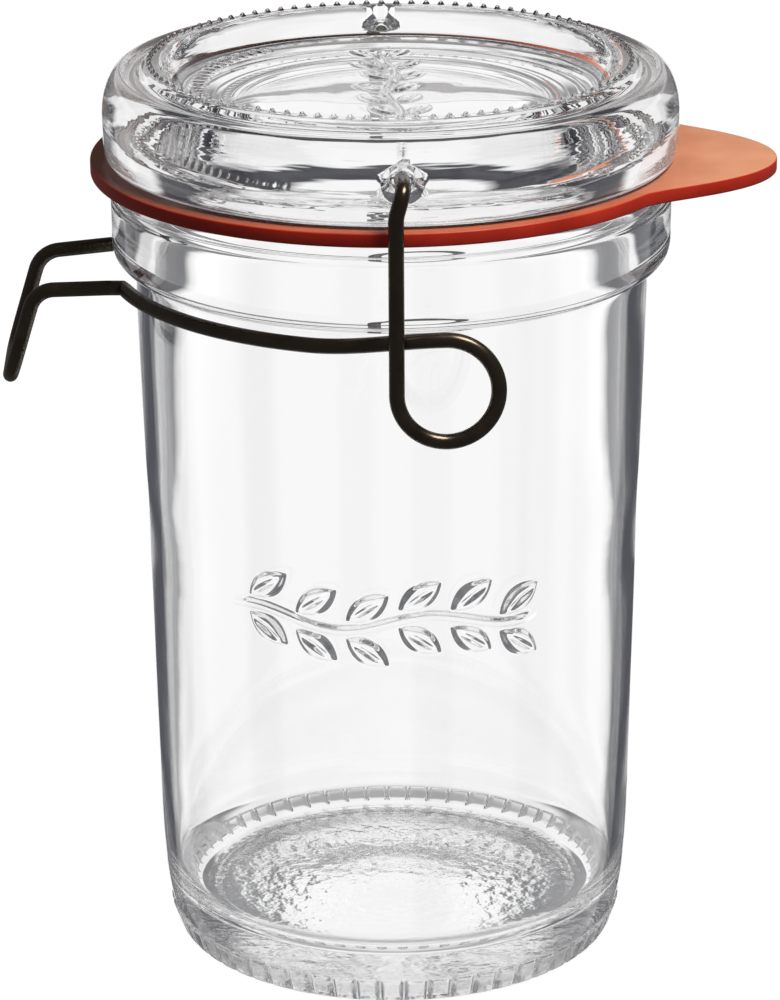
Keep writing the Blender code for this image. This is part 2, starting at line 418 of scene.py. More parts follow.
def make_jar():
    """The jar, with the sprig on its front and the fluted ring round its heel."""
    inside = smooth_run(JAR_INSIDE, INSIDE_STEP)
    rim = smooth_run(JAR_INSIDE[-1:] + JAR_RIM, RIM_STEP)[1:]
    outside = smooth_run(JAR_RIM[-1:] + JAR_OUTSIDE, OUTSIDE_STEP)
    emblem_low = (EMBLEM_Z - EMBLEM_HALF_HEIGHT) / MM
    emblem_high = (EMBLEM_Z + EMBLEM_HALF_HEIGHT) / MM
    wall = []
    for start, end in zip(outside[:-1], outside[1:]):
        middle = (start[1] + end[1]) / 2
        step = EMBLEM_STEP if emblem_low < middle < emblem_high else OUTSIDE_STEP
        wall += list(spaced([start, end], step)[1:])
    heel = smooth_run(JAR_OUTSIDE[-1:] + JAR_HEEL + JAR_UNDER[:1], HEEL_STEP)[1:]
    under = smooth_run(JAR_UNDER, UNDER_STEP)[1:]
    profile = np.vstack([inside, rim, wall, heel, under]) * MM
    first_rim = len(inside)
    first_wall = first_rim + len(rim)
    first_heel = first_wall + len(wall)
    first_under = first_heel + len(heel)

    base = even_angles(BASE_ANGLES)
    fluted = even_angles(HEEL_ANGLES)
    reach = EMBLEM_LENGTH / 2 / EMBLEM_RADIUS + EMBLEM_MARGIN
    dense = EMBLEM_ANGLE + 2 * pi + np.linspace(-reach, reach, EMBLEM_COLUMNS)
    rest = base[(base < dense[0] - CARVED_GAP) | (base > dense[-1] + CARVED_GAP)]
    carved = np.sort(np.concatenate([rest, dense]))

    def angles_at(index, radius, height):
        if first_wall <= index < first_heel and emblem_low * MM <= height <= emblem_high * MM:
            return carved
        if first_heel <= index < first_under:
            return fluted
        return base

    inner_wave = waves(INNER_WAVE_SEED, INNER_WAVES)
    outer_wave = waves(OUTER_WAVE_SEED, OUTER_WAVES)

    def shape(index, r, z, angles):
        if index < first_rim:
            fade = wave_fade(z[0] / MM, INNER_WAVE_SPAN)
            r = r + INNER_WAVE_DEPTH * fade * inner_wave(angles, z)
        elif first_wall <= index < first_heel:
            fade = wave_fade(z[0] / MM, OUTER_WAVE_SPAN)
            r = r + OUTER_WAVE_DEPTH * fade * outer_wave(angles, z)
            if len(angles) == len(carved):
                u = ((angles - EMBLEM_ANGLE + pi) % (2 * pi) - pi) * EMBLEM_RADIUS
                emblem = sprig(u, z - EMBLEM_Z, EMBLEM_LENGTH, EMBLEM_SPREAD)
                r = r + EMBLEM_RISE * np.clip(emblem, 0, 1)
        elif first_heel <= index < first_under:
            pitch = 2 * pi / FLUTES
            off = ((angles + pitch / 2) % pitch - pitch / 2) * FLUTE_RADIUS
            groove = bump(off, FLUTE_WIDTH)
            above = np.clip((z - FLUTE_BOTTOM_Z) / FLUTE_BOTTOM_FADE, 0, 1)
            below = np.clip((FLUTE_TOP_Z - z) / FLUTE_TOP_FADE, 0, 1)
            r = r + (BLOCK_RISE * (1 - groove) - FLUTE_DEPTH * groove) * above * below
        return r, z

    made = lathe("jar_glass", profile, angles_at, shape)
    for face in made.data.polygons:
        centre = face.center
        if centre.z < STIPPLE_TOP_Z and centre.xy.length < STIPPLE_RADIUS:
            face.material_index = 1
    return made


# ---------------------------------------------------------------- lid

LID_ANGLES = 220
BEADS = 96
BEAD_STEPS = 12
BEAD_RADIUS = 0.52 * MM
BEAD_STRETCH = 1.35
BEAD_RING = 41.6 * MM
PIVOT_Z = 152.8 * MM
DISH_ANGLES = 600
DISH_RADIUS = 36.2 * MM
DISH_MIDDLE_RADIUS = 14.0 * MM
DISH_SPRIG = 50.0 * MM
DISH_SPREAD = 10.5 * MM
DISH_RISE = 0.42 * MM
DASH_RADIUS = 33.2 * MM
DASH_LENGTH = 3.0 * MM
DASH_RISE = 0.32 * MM
DASH_PITCH = 2.2 * MM
DASH_WIDTH = 1.3 * MM
DASH_START = 128.0
DASH_END = 236.0
DASH_FLAT = 2.5
LID_TOP_STEP = 0.55
LID_RING_STEP = 0.14
SHOULDER_STEP = 1.2
BELOW_STEP = 1.6

# Outlines of the lid: (radius, height) in millimetres.
LID_TOP = [
    (0.0, 157.0),
    (8.0, 157.0),
    (16.0, 157.0),
    (24.0, 157.0),
    (30.0, 157.0),
    (33.0, 157.05),
    (35.0, 157.2),
    (36.4, 157.7),
    (37.5, 158.7),
    (38.4, 159.9),
    (39.3, 160.9),
    (40.2, 161.45),
]
LID_RING = [
    (40.8, 161.6),
    (41.6, 161.65),
    (42.3, 161.5),
]
LID_SHOULDER = [
    (42.9, 161.0),
    (43.3, 160.3),
    (43.8, 159.75),
    (44.5, 159.5),
    (45.3, 159.65),
    (46.0, 160.1),
    (46.7, 160.35),
    (47.4, 160.1),
    (48.2, 159.4),
    (49.0, 158.0),
    (49.6, 156.3),
    (49.92, 154.6),
    (50.0, 153.2),
    (50.0, 151.5),
    (49.95, 149.5),
    (49.85, 147.5),
    (49.6, 146.0),
    (49.1, 145.4),
    (48.4, 145.3),
]
LID_BELOW = [
    (46.0, 145.3),
    (42.4, 145.3),
    (41.2, 145.25),
    (40.75, 144.8),
    (40.6, 143.5),
    (40.45, 141.0),
    (40.3, 140.2),
    (39.6, 139.5),
    (38.6, 139.4),
    (37.6, 139.6),
    (36.9, 140.4),
    (36.5, 141.8),
    (36.2, 144.0),
    (35.6, 145.6),
    (34.2, 147.6),
    (31.8, 149.6),
    (28.8, 151.0),
    (25.0, 152.0),
    (20.0, 152.4),
    (14.0, 152.6),
    (8.0, 152.6),
    (0.0, 152.6),
]


def bead_height(r, angles):
    """How far the small beads stand above the ring."""
    pitch = 2 * pi / BEADS
    off = ((angles + pitch / 2) % pitch - pitch / 2) * BEAD_RING
    square = BEAD_RADIUS**2 - off**2 - (r - BEAD_RING) ** 2
    return BEAD_STRETCH * np.sqrt(np.clip(square, 0, None))


def make_lid():
    """The lid, with its beads, the sprig and strokes in its dish, and the two sockets cut into it."""
    top = smooth_run(LID_TOP, LID_TOP_STEP)
    ring = smooth_run(LID_TOP[-1:] + LID_RING + LID_SHOULDER[:1], LID_RING_STEP)[1:]
    shoulder = smooth_run(LID_SHOULDER, SHOULDER_STEP)[1:]
    below = smooth_run(LID_SHOULDER[-1:] + LID_BELOW, BELOW_STEP)[1:]
    profile = np.vstack([top, ring, shoulder, below]) * MM
    first_ring = len(top)
    first_shoulder = first_ring + len(ring)
    base = even_angles(LID_ANGLES)
    dish = even_angles(DISH_ANGLES)
    dish_middle = even_angles(DISH_ANGLES // 2)
    beaded = even_angles(BEADS * BEAD_STEPS)

    def angles_at(index, radius, height):
        if first_ring <= index < first_shoulder:
            return beaded
        if index < first_ring and radius < DISH_MIDDLE_RADIUS:
            return dish_middle
        if index < first_ring and radius < DISH_RADIUS:
            return dish
        return base

    def shape(index, r, z, angles):
        if index < first_ring and r[0] < DISH_RADIUS:
            x = r * np.cos(angles)
            y = r * np.sin(angles)
            z = z + DISH_RISE * np.clip(sprig(y, x, DISH_SPRIG, DISH_SPREAD), 0, 1)
            strokes = dashes(angles, DASH_RADIUS, DASH_PITCH, DASH_WIDTH, DASH_START, DASH_END)
            z = z + DASH_RISE * strokes * np.clip(bump(r - DASH_RADIUS, DASH_LENGTH) * DASH_FLAT, 0, 1)
        elif first_ring <= index < first_shoulder:
            z = z + bead_height(r, angles)
        return r, z

    lid = lathe("lid_glass", profile, angles_at, shape)
    cutters = [socket_cutter("socket_front", 90.0), socket_cutter("socket_back", -90.0)]
    for cutter in cutters:
        cut = lid.modifiers.new(cutter.name, "BOOLEAN")
        cut.operation = "DIFFERENCE"
        cut.solver = "EXACT"
        cut.object = cutter
    apply_modifiers(lid)
    for cutter in cutters:
        bpy.data.objects.remove(cutter)
    return lid


# Outline of a pin socket: (radius, distance from the jar's axis) in millimetres.
SOCKET = [
    (0.0, 45.7),
    (1.2, 45.75),
    (1.9, 46.1),
    (2.15, 46.9),
    (2.2, 47.6),
    (2.5, 48.4),
    (3.0, 49.2),
    (3.6, 49.9),
    (4.2, 50.6),
    (4.6, 52.0),
    (0.0, 52.0),
]
SOCKET_STEP = 0.6
SOCKET_ANGLES = 40


def socket_cutter(name, tilt):
    """The body that cuts one pin socket: turned about Z, then tilted about X by some degrees."""
    profile = spaced(rounded(SOCKET), SOCKET_STEP) * MM
    angles = even_angles(SOCKET_ANGLES)
    cutter = lathe(name, profile[::-1], lambda *_: angles, lambda _, r, z, a: (r, z))
    turn = Matrix.Rotation(radians(tilt), 4, "X")
    cutter.data.transform(Matrix.Translation((0.0, 0.0, PIVOT_Z)) @ turn)
    cutter.data.update()
    return cutter


def apply_modifiers(obj):
    """Turn an object's modifiers into mesh, and weld it."""
    bpy.context.view_layer.update()
    done = bpy.data.meshes.new_from_object(obj.evaluated_get(bpy.context.evaluated_depsgraph_get()))
    obj.modifiers.clear()
    obj.data = done
    weld(done)


# ---------------------------------------------------------------- rubber ring

SEAL_BOTTOM_Z = 142.6 * MM
SEAL_TOP_Z = 145.0 * MM
SEAL_INNER_RADIUS = 41.9 * MM
SEAL_OUTER_RADIUS = 51.7 * MM
SEAL_SHIFT_X = -0.5 * MM
TAB_REACH = 15.7 * MM
TAB_ANGLE = -5.9
TAB_HALF_SPAN = 30.0
TAB_FULLNESS = 1.64
SEAL_EDGE = 0.28 * MM
SEAL_ANGLES = 720
EDGE_TURNS = [radians(a) for a in (0, 30, 60, 90)]
TOP_FACE_SHARES = (0.33, 0.66)


def seal_outline(angle):
    """Radius of the ring's outer edge, which swells into the pull tab."""
    off_tab = (np.degrees(angle) - TAB_ANGLE + 180) % 360 - 180
    swell = np.cos(np.radians(np.clip(90.0 * off_tab / TAB_HALF_SPAN, -90, 90)))
    return SEAL_OUTER_RADIUS + TAB_REACH * np.clip(swell, 0, None) ** TAB_FULLNESS


def make_gasket():
    """The rubber ring with its tab: closed loops, from the top's outer edge down, in and up again."""
    angles = even_angles(SEAL_ANGLES)
    outer = seal_outline(angles)
    outline = np.column_stack([outer * np.cos(angles), outer * np.sin(angles)])
    tangent = np.roll(outline, -1, axis=0) - np.roll(outline, 1, axis=0)
    outward = np.column_stack([tangent[:, 1], -tangent[:, 0]])
    outward /= np.linalg.norm(outward, axis=1)[:, None]
    radial = np.column_stack([np.cos(angles), np.sin(angles)])

    def outer_edge(turn):
        return outline + outward * SEAL_EDGE * (sin(turn) - 1)

    def inner_edge(turn):
        return radial * (SEAL_INNER_RADIUS + SEAL_EDGE * (1 - sin(turn)))

    def inset(turn):
        return SEAL_EDGE * (1 - cos(turn))

    loops = [(outer_edge(turn), SEAL_TOP_Z - inset(turn)) for turn in EDGE_TURNS]
    loops.append((outline, (SEAL_TOP_Z + SEAL_BOTTOM_Z) / 2))
    loops += [(outer_edge(turn), SEAL_BOTTOM_Z + inset(turn)) for turn in reversed(EDGE_TURNS)]
    loops += [(inner_edge(turn), SEAL_BOTTOM_Z + inset(turn)) for turn in EDGE_TURNS]
    loops += [(inner_edge(turn), SEAL_TOP_Z - inset(turn)) for turn in reversed(EDGE_TURNS)]
    top_inner = loops[-1][0]
    top_outer = loops[0][0]
    for share in TOP_FACE_SHARES:
        loops.append((top_inner * (1 - share) + top_outer * share, SEAL_TOP_Z))
    vertices = []
    for plan, height in loops:
        x = plan[:, 0] + SEAL_SHIFT_X
        vertices.append(np.column_stack([x, plan[:, 1], np.full(len(plan), height)]))
    n = len(angles)
    faces = []
    for k in range(len(loops)):
        this = k * n
        following = ((k + 1) % len(loops)) * n
        for i in range(n):
            j = (i + 1) % n
            faces.append((this + i, following + i, following + j, this + j))
    return new_piece("gasket_ring", np.vstack(vertices).tolist(), faces)


# ---------------------------------------------------------------- wire

WIRE_RADIUS = 1.3 * MM
PIN_END_Y = 46.5 * MM
ARM_Y = 54.0 * MM
RETURN_Y = 51.1 * MM
LOOP_X = 7.2 * MM
LOOP_Z = 118.2 * MM
LOOP_RADIUS = 8.45 * MM
ARM_X = LOOP_X - LOOP_RADIUS
HOOP_RADIUS = 48.6 * MM
HOOP_Z = 124.6 * MM
HOOP_START_ANGLE = 252.0
HOOP_END_ANGLE = 196.2
HANDLE_ROOT = Vector((-49.5, -13.4, 125.1)) * MM
HANDLE_BEND = Vector((-61.9, -11.8, 124.4)) * MM
HANDLE_CORNER = Vector((-67.0, -11.4, 107.8)) * MM
HANDLE_BENDS = [3.5 * MM, 4.6 * MM, 5.0 * MM]
HOOP_RISE = 0.5 * MM
ARM_DROP = 4.5 * MM
ARM_BENDS = [2.3 * MM, 6.0 * MM]
LOOP_START_ANGLE = 180.0
LOOP_TURN = 270.0
LOOP_STEPS = 60
JOIN_STEPS = 24
HOOP_STEPS = 40
WIRE_SIDES = 28
SHORTEST_STEP = 0.02 * MM
CAP_CENTRE = 0.001
# Rounded end of a bar: (size, how far in from the end), as shares of its radius.
CAP = [(0.0, -0.30), (0.55, -0.27), (0.85, -0.15), (0.97, -0.05)]


def rounded_path(corners, radii, steps=14):
    """Straight runs joined by bends: one radius for each corner between the first and last point."""
    path = [corners[0]]
    for before, corner, after, radius in zip(corners, corners[1:], corners[2:], radii):
        back = (before - corner).normalized()
        ahead = (after - corner).normalized()
        opening = acos(max(-1.0, min(1.0, back.dot(ahead))))
        centre = corner + (back + ahead).normalized() * (radius / sin(opening / 2))
        reach = radius / tan(opening / 2)
        first = (corner + back * reach - centre).normalized()
        last = (corner + ahead * reach - centre).normalized()
        path += [centre + first.slerp(last, i / steps) * radius for i in range(steps + 1)]
    path.append(corners[-1])
    return path


def hermite(start, start_slope, end, end_slope, share):
    """A point on the smooth curve between two points with given slopes."""
    square = share * share
    cube = square * share
    return (
        start * (2 * cube - 3 * square + 1)
        + start_slope * (cube - 2 * square + share)
        + end * (3 * square - 2 * cube)
        + end_slope * (cube - square)
    )


def hoop_point(angle):
    """A point of the hoop, which rises a little towards the handle."""
    share = (HOOP_START_ANGLE - angle) / (HOOP_START_ANGLE - HOOP_END_ANGLE)
    turn = radians(angle)
    return Vector((HOOP_RADIUS * cos(turn), HOOP_RADIUS * sin(turn), HOOP_Z + HOOP_RISE * share))


def half_wire():
    """Centre line from the front pin to the middle of the handle."""
    pin_and_arm = rounded_path(
        [
            Vector((0.0, -PIN_END_Y, PIVOT_Z)),
            Vector((0.0, -ARM_Y, PIVOT_Z)),
            Vector((ARM_X, -ARM_Y, PIVOT_Z - ARM_DROP)),
            Vector((ARM_X, -ARM_Y, LOOP_Z)),
        ],
        ARM_BENDS,
    )
    loop = []
    for i in range(1, LOOP_STEPS + 1):
        share = i / LOOP_STEPS
        turn = radians(LOOP_START_ANGLE + LOOP_TURN * share)
        across = -ARM_Y + (ARM_Y - RETURN_Y) * share
        loop.append(Vector((LOOP_X + LOOP_RADIUS * cos(turn), across, LOOP_Z + LOOP_RADIUS * sin(turn))))
    start = loop[-1]
    end = hoop_point(HOOP_START_ANGLE)
    run = (end - start).length
    join_turn = radians(HOOP_START_ANGLE)
    start_slope = Vector((-run, 0.0, 0.0))
    end_slope = Vector((sin(join_turn), -cos(join_turn), 0.0)) * run
    shares = [i / JOIN_STEPS for i in range(1, JOIN_STEPS + 1)]
    to_hoop = [hermite(start, start_slope, end, end_slope, share) for share in shares]
    hoop_turn = (HOOP_END_ANGLE - HOOP_START_ANGLE) / HOOP_STEPS
    hoop = [hoop_point(HOOP_START_ANGLE + hoop_turn * i) for i in range(1, HOOP_STEPS + 1)]
    middle = Vector((HANDLE_CORNER.x, 0.0, HANDLE_CORNER.z))
    handle = rounded_path([hoop[-1], HANDLE_ROOT, HANDLE_BEND, HANDLE_CORNER, middle], HANDLE_BENDS)
    return pin_and_arm + loop + to_hoop + hoop + handle[1:]


def tube(name, path, radius, sides):
    """A round bar along a line of points, with rounded ends, turned as little as possible."""
    points = [path[0]]
    for point in path[1:]:
        if (point - points[-1]).length > SHORTEST_STEP:
            points.append(point)
    tangents = []
    for i, point in enumerate(points):
        ahead = points[min(i + 1, len(points) - 1)]
        back = points[max(i - 1, 0)]
        tangents.append((ahead - back).normalized())
    normal = tangents[0].orthogonal().normalized()
    rings = []
    for point, tangent in zip(points, tangents):
        if rings:
            normal = (normal - tangent * normal.dot(tangent)).normalized()
        rings.append((point, tangent, normal, 1.0))

    def cap(ring, way):
        """The shrinking rings that close the bar at one of its end rings."""
        point, tangent, normal, _ = ring
        return [(point + tangent * way * radius * inward, tangent, normal, size) for size, inward in CAP]

    rings = cap(rings[0], 1) + rings + cap(rings[-1], -1)[::-1]
    vertices = []
    for point, tangent, side, size in rings:
        up = tangent.cross(side)
        for k in range(sides):
            a = 2 * pi * k / sides
            vertices.append(point + (side * cos(a) + up * sin(a)) * radius * max(size, CAP_CENTRE))
    faces = []
    for i in range(len(rings) - 1):
        for k in range(sides):
            j = (k + 1) % sides
            faces.append((i * sides + k, i * sides + j, (i + 1) * sides + j, (i + 1) * sides + k))
    faces.append(tuple(range(sides))[::-1])
    faces.append(tuple((len(rings) - 1) * sides + k for k in range(sides)))
    bar = new_piece(name, [tuple(v) for v in vertices], faces)
    weld(bar.data)
    return bar


def make_wire():
    """The one-piece clamp: half of it, and the same half mirrored."""
    front = half_wire()
    back = [Vector((point.x, -point.y, point.z)) for point in reversed(front[:-1])]
    return tube("clamp_bar", front + back, WIRE_RADIUS, WIRE_SIDES)


# ---------------------------------------------------------------- materials

GLASS_IOR = 1.5
STIPPLE_FADE_START = 12.0 * MM
STIPPLE_FADE_END = 30.0 * MM

# Pairs of close tones of one colour.
# The rubber's cut side faces: a darker red, painted shade.
SHADED_SIDE_TONES = [(0.42, 0.020, 0.009), (0.52, 0.030, 0.014)]
# The ring's top face: painted lighter, as if lit from above.
RING_LIT_TOP_TONES = [(0.40, 0.075, 0.030), (0.50, 0.115, 0.048)]
# The tab's top: painted lighter still, with a painted sheen.
TAB_LIT_SHEEN_TONES = [(0.58, 0.25, 0.145), (0.66, 0.31, 0.19)]
WIRE_TONES = [(0.003, 0.0024, 0.002), (0.012, 0.008, 0.005)]
WIRE_TINT = (1.0, 0.84, 0.66, 1.0)
TONE_STOPS = (0.35, 0.65)
# Between these x positions, the painted light and sheen of the tab's top fade in.
TAB_LIGHT_START_X = 35.0 * MM
TAB_LIGHT_FULL_X = 56.0 * MM
# Between these upward shares of a face's normal, the rubber goes from the painted shade of its sides to
# the painted light of its top.
LIT_TOP_START = 0.55
LIT_TOP_FULL = 0.98
RUBBER_ROUGHNESS = (0.30, 0.52)
WIRE_ROUGHNESS = (0.16, 0.34)


def new_material(name):
    """A new material, with its tree and its shader."""
    material = bpy.data.materials.new(name)
    material.use_nodes = True
    tree = material.node_tree
    return material, tree, tree.nodes["Principled BSDF"]


def node(tree, kind, **values):
    """A new node, with its settings or the values of its sockets."""
    made = tree.nodes.new(kind)
    for key, value in values.items():
        if hasattr(made, key):
            setattr(made, key, value)
        else:
            made.inputs[key.replace("_", " ")].default_value = value
    return made


def add_relief(tree, shader, place, noise, strength, depth):
    """Bump from a noise, laid over a surface by the given coordinates."""
    relief = node(tree, "ShaderNodeBump", Strength=strength, Distance=depth)
    tree.links.new(place, noise.inputs["Vector"])
    tree.links.new(noise.outputs["Fac"], relief.inputs["Height"])
    tree.links.new(relief.outputs["Normal"], shader.inputs["Normal"])


def glass_material(name, wave_scale, upright, wave_strength):
    """Clear glass with faint waves, which a high upright scale makes short in height."""
    material, tree, shader = new_material(name)
    shader.inputs["Base Color"].default_value = (1.0, 1.0, 1.0, 1.0)
    shader.inputs["Roughness"].default_value = 0.0
    shader.inputs["IOR"].default_value = GLASS_IOR
    shader.inputs["Transmission Weight"].default_value = 1.0
    where = tree.nodes.new("ShaderNodeTexCoord")
    stretch = tree.nodes.new("ShaderNodeMapping")
    stretch.inputs["Scale"].default_value = (1.0, 1.0, upright)
    noise = node(tree, "ShaderNodeTexNoise", Scale=wave_scale, Detail=2.0)
    tree.links.new(where.outputs["Object"], stretch.inputs["Vector"])
    add_relief(tree, shader, stretch.outputs["Vector"], noise, wave_strength, 1.0 * MM)
    return material


def stippled_material():
    """The underside of the jar: glass with a fine stipple that fades out towards the middle."""
    material = glass_material("glass_stippled", wave_scale=400.0, upright=1.0, wave_strength=0.3)
    tree = material.node_tree
    where = tree.nodes.new("ShaderNodeTexCoord")
    flat = tree.nodes.new("ShaderNodeVectorMath")
    flat.operation = "MULTIPLY"
    flat.inputs[1].default_value = (1.0, 1.0, 0.0)
    radius = tree.nodes.new("ShaderNodeVectorMath")
    radius.operation = "LENGTH"
    tree.links.new(where.outputs["Object"], flat.inputs[0])
    tree.links.new(flat.outputs[0], radius.inputs[0])
    fade = (STIPPLE_FADE_START, STIPPLE_FADE_END, STIPPLE_LOW, STIPPLE_HIGH)
    stipple = share_between(tree, radius.outputs["Value"], *fade)
    tree.links.new(stipple, tree.nodes["Principled BSDF"].inputs["Roughness"])
    return material


def two_tones(tree, value, low, high):
    """A colour ramp between two close tones, driven by a noise."""
    ramp = tree.nodes.new("ShaderNodeValToRGB")
    for stop, position, tone in zip(ramp.color_ramp.elements, TONE_STOPS, (low, high)):
        stop.position = position
        stop.color = (*tone, 1.0)
    tree.links.new(value, ramp.inputs["Fac"])
    return ramp.outputs["Color"]


def share_between(tree, value, start, end, low=0.0, high=1.0):
    """From low to high, evenly, while a value goes from start to end."""
    made = tree.nodes.new("ShaderNodeMapRange")
    made.inputs["From Min"].default_value = start
    made.inputs["From Max"].default_value = end
    made.inputs["To Min"].default_value = low
    made.inputs["To Max"].default_value = high
    tree.links.new(value, made.inputs["Value"])
    return made.outputs["Result"]


def mixed(tree, factor, first, second):
    """A blend of two colours."""
    made = tree.nodes.new("ShaderNodeMix")
    made.data_type = "RGBA"
    tree.links.new(factor, made.inputs["Factor"])
    tree.links.new(first, made.inputs[6])
    tree.links.new(second, made.inputs[7])
    return made.outputs[2]


def rubber_material():
    """Red rubber with painted light: the flat faces painted lighter as if lit from above, most on the tab
    with a painted sheen, and the cut edges darker as painted shade.
    """
    material, tree, shader = new_material("rubber_red")
    link = tree.links.new
    where = tree.nodes.new("ShaderNodeTexCoord")
    side = tree.nodes.new("ShaderNodeSeparateXYZ")
    place = tree.nodes.new("ShaderNodeSeparateXYZ")
    blotch = node(tree, "ShaderNodeTexNoise", Scale=90.0, Detail=4.0)
    link(where.outputs["Normal"], side.inputs[0])
    link(where.outputs["Object"], place.inputs[0])
    link(where.outputs["Object"], blotch.inputs["Vector"])
    # Painted light: shaded sides, lit tops, and the tab's top lit most, with a painted sheen. The noise
    # only varies the tone at random.
    cut = two_tones(tree, blotch.outputs["Fac"], *SHADED_SIDE_TONES)
    ring = two_tones(tree, blotch.outputs["Fac"], *RING_LIT_TOP_TONES)
    tab = two_tones(tree, blotch.outputs["Fac"], *TAB_LIT_SHEEN_TONES)
    face = mixed(tree, share_between(tree, place.outputs["X"], TAB_LIGHT_START_X, TAB_LIGHT_FULL_X), ring, tab)
    colour = mixed(tree, share_between(tree, side.outputs["Z"], LIT_TOP_START, LIT_TOP_FULL), cut, face)
    link(colour, shader.inputs["Base Color"])
    roughness = share_between(tree, blotch.outputs["Fac"], 0.0, 1.0, *RUBBER_ROUGHNESS)
    link(roughness, shader.inputs["Roughness"])
    grain = node(tree, "ShaderNodeTexNoise", Scale=900.0, Detail=3.0)
    add_relief(tree, shader, where.outputs["Object"], grain, strength=0.10, depth=0.2 * MM)
    shader.inputs["Specular IOR Level"].default_value = 0.35
    return material


def wire_material():
    """Dark bronze finish on spring wire, with faint wear."""
    material, tree, shader = new_material("wire_bronze")
    link = tree.links.new
    where = tree.nodes.new("ShaderNodeTexCoord")
    wear = node(tree, "ShaderNodeTexNoise", Scale=260.0, Detail=5.0)
    link(where.outputs["Object"], wear.inputs["Vector"])
    link(two_tones(tree, wear.outputs["Fac"], *WIRE_TONES), shader.inputs["Base Color"])
    roughness = share_between(tree, wear.outputs["Fac"], 0.0, 1.0, *WIRE_ROUGHNESS)
    link(roughness, shader.inputs["Roughness"])
    scratch = node(tree, "ShaderNodeTexNoise", Scale=1400.0, Detail=2.0)
    add_relief(tree, shader, where.outputs["Object"], scratch, strength=0.06, depth=0.1 * MM)
    shader.inputs["Specular IOR Level"].default_value = 0.8
    shader.inputs["Specular Tint"].default_value = WIRE_TINT
    return material


# ---------------------------------------------------------------- build

jar = make_jar()
lid = make_lid()
gasket = make_gasket()
wire = make_wire()

jar.data.materials.append(glass_material("glass_jar", wave_scale=60.0, upright=1.0, wave_strength=0.02))
jar.data.materials.append(stippled_material())
lid.data.materials.append(glass_material("glass_lid", wave_scale=60.0, upright=10.0, wave_strength=0.05))
gasket.data.materials.append(rubber_material())
wire.data.materials.append(wire_material())

for piece, body, cad_node, slot in (
    (jar, "jar", "jar_body", "glass"),
    (lid, "lid", "lid", "glass"),
    (gasket, "seal", "gasket", "rubber"),
    (wire, "clamp", "clamp_wire", "wire"),
):
    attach(piece, body)
    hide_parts(cad_node)

# ---------------------------------------------------------------- studio

VIEW_TURN = radians(-2.1)
FLOOR_HALF = 6.0
FLOOR_Z = -0.2 * MM
FLOOR_GLOW = 0.98
FLOOR_COLOUR = (0.4, 0.4, 0.4, 1.0)


def make_floor():
    """A pale floor that is only seen directly: it shows in no glass and no reflection."""
    corners = [(x * FLOOR_HALF, y * FLOOR_HALF, 0) for x, y in ((-1, -1), (1, -1), (1, 1), (-1, 1))]
    mesh = bpy.data.meshes.new("floor")
    mesh.from_pydata(corners, [], [(0, 1, 2, 3)])
    floor = bpy.data.objects.new("floor", mesh)
    floor.location.z = FLOOR_Z
    bpy.context.scene.collection.objects.link(floor)
    material = bpy.data.materials.new("floor")
    material.use_nodes = True
    tree = material.node_tree
    tree.nodes.clear()
    out = tree.nodes.new("ShaderNodeOutputMaterial")
    both = tree.nodes.new("ShaderNodeAddShader")
    glow = node(tree, "ShaderNodeEmission", Strength=FLOOR_GLOW)
    dull = tree.nodes.new("ShaderNodeBsdfDiffuse")
    dull.inputs["Color"].default_value = FLOOR_COLOUR
    tree.links.new(glow.outputs[0], both.inputs[0])
    tree.links.new(dull.outputs[0], both.inputs[1])
    tree.links.new(both.outputs[0], out.inputs["Surface"])
    mesh.materials.append(material)
    floor.visible_diffuse = False
    floor.visible_glossy = False
    floor.visible_transmission = False
    floor.visible_shadow = False


# Levels of the studio: (angle in degrees, grey level or colour). From DOWN_START below the horizon to
# UP_START above it the azimuth decides, counted from VIEW_TURN. Beyond that the elevation does, with
# AHEAD_LEVELS in front and behind and SIDE_LEVELS to the sides.
BRIGHT = 0.94
BAND = (0.085, 0.087, 0.100)
DARK = (0.030, 0.031, 0.040)
AZIMUTH_LEVELS = [
    (-180, BRIGHT),
    (-126, BRIGHT),
    (-121, 0.50),
    (-109, 0.50),
    (-104, BRIGHT),
    (-78, BRIGHT),
    (-73, 0.50),
    (-60, 0.50),
    (-55, BRIGHT),
    (-52, BRIGHT),
    (-50, 0.72),
    (-41, 0.72),
    (-38, BAND),
    (-14, BAND),
    (-12, 1.10),
    (-6, BRIGHT),
    (6, BRIGHT),
    (12, 1.10),
    (14, BAND),
    (47, BAND),
    (50, BRIGHT),
    (96, BRIGHT),
    (102, 0.50),
    (116, 0.50),
    (121, BRIGHT),
    (150, BRIGHT),
    (155, 0.50),
    (168, 0.50),
    (173, BRIGHT),
    (180, BRIGHT),
]
LOW_LEVELS = [
    (-90, 0.80),
    (-75, 0.76),
    (-64, 0.38),
    (-58, 0.38),
    (-50, BRIGHT),
]
AHEAD_LEVELS = LOW_LEVELS + [
    (36, BRIGHT),
    (40, DARK),
    (57, DARK),
    (63, BRIGHT),
    (90, BRIGHT),
]
SIDE_LEVELS = LOW_LEVELS + [
    (9, BRIGHT),
    (12, DARK),
    (56, DARK),
    (62, BRIGHT),
    (90, BRIGHT),
]
SIDE_START = 20.0
SIDE_FULL = 32.0
UP_START = 4.0
UP_FULL = 8.0
DOWN_START = 44.0
DOWN_FULL = 48.0
DIFFUSE_LEVEL = 0.05
ROUGH_LEVEL = 0.12
STUDIO_MAP_SIZE = 1024


def grey(level):
    """The colour of a grey level."""
    return (level, level, level, 1.0)


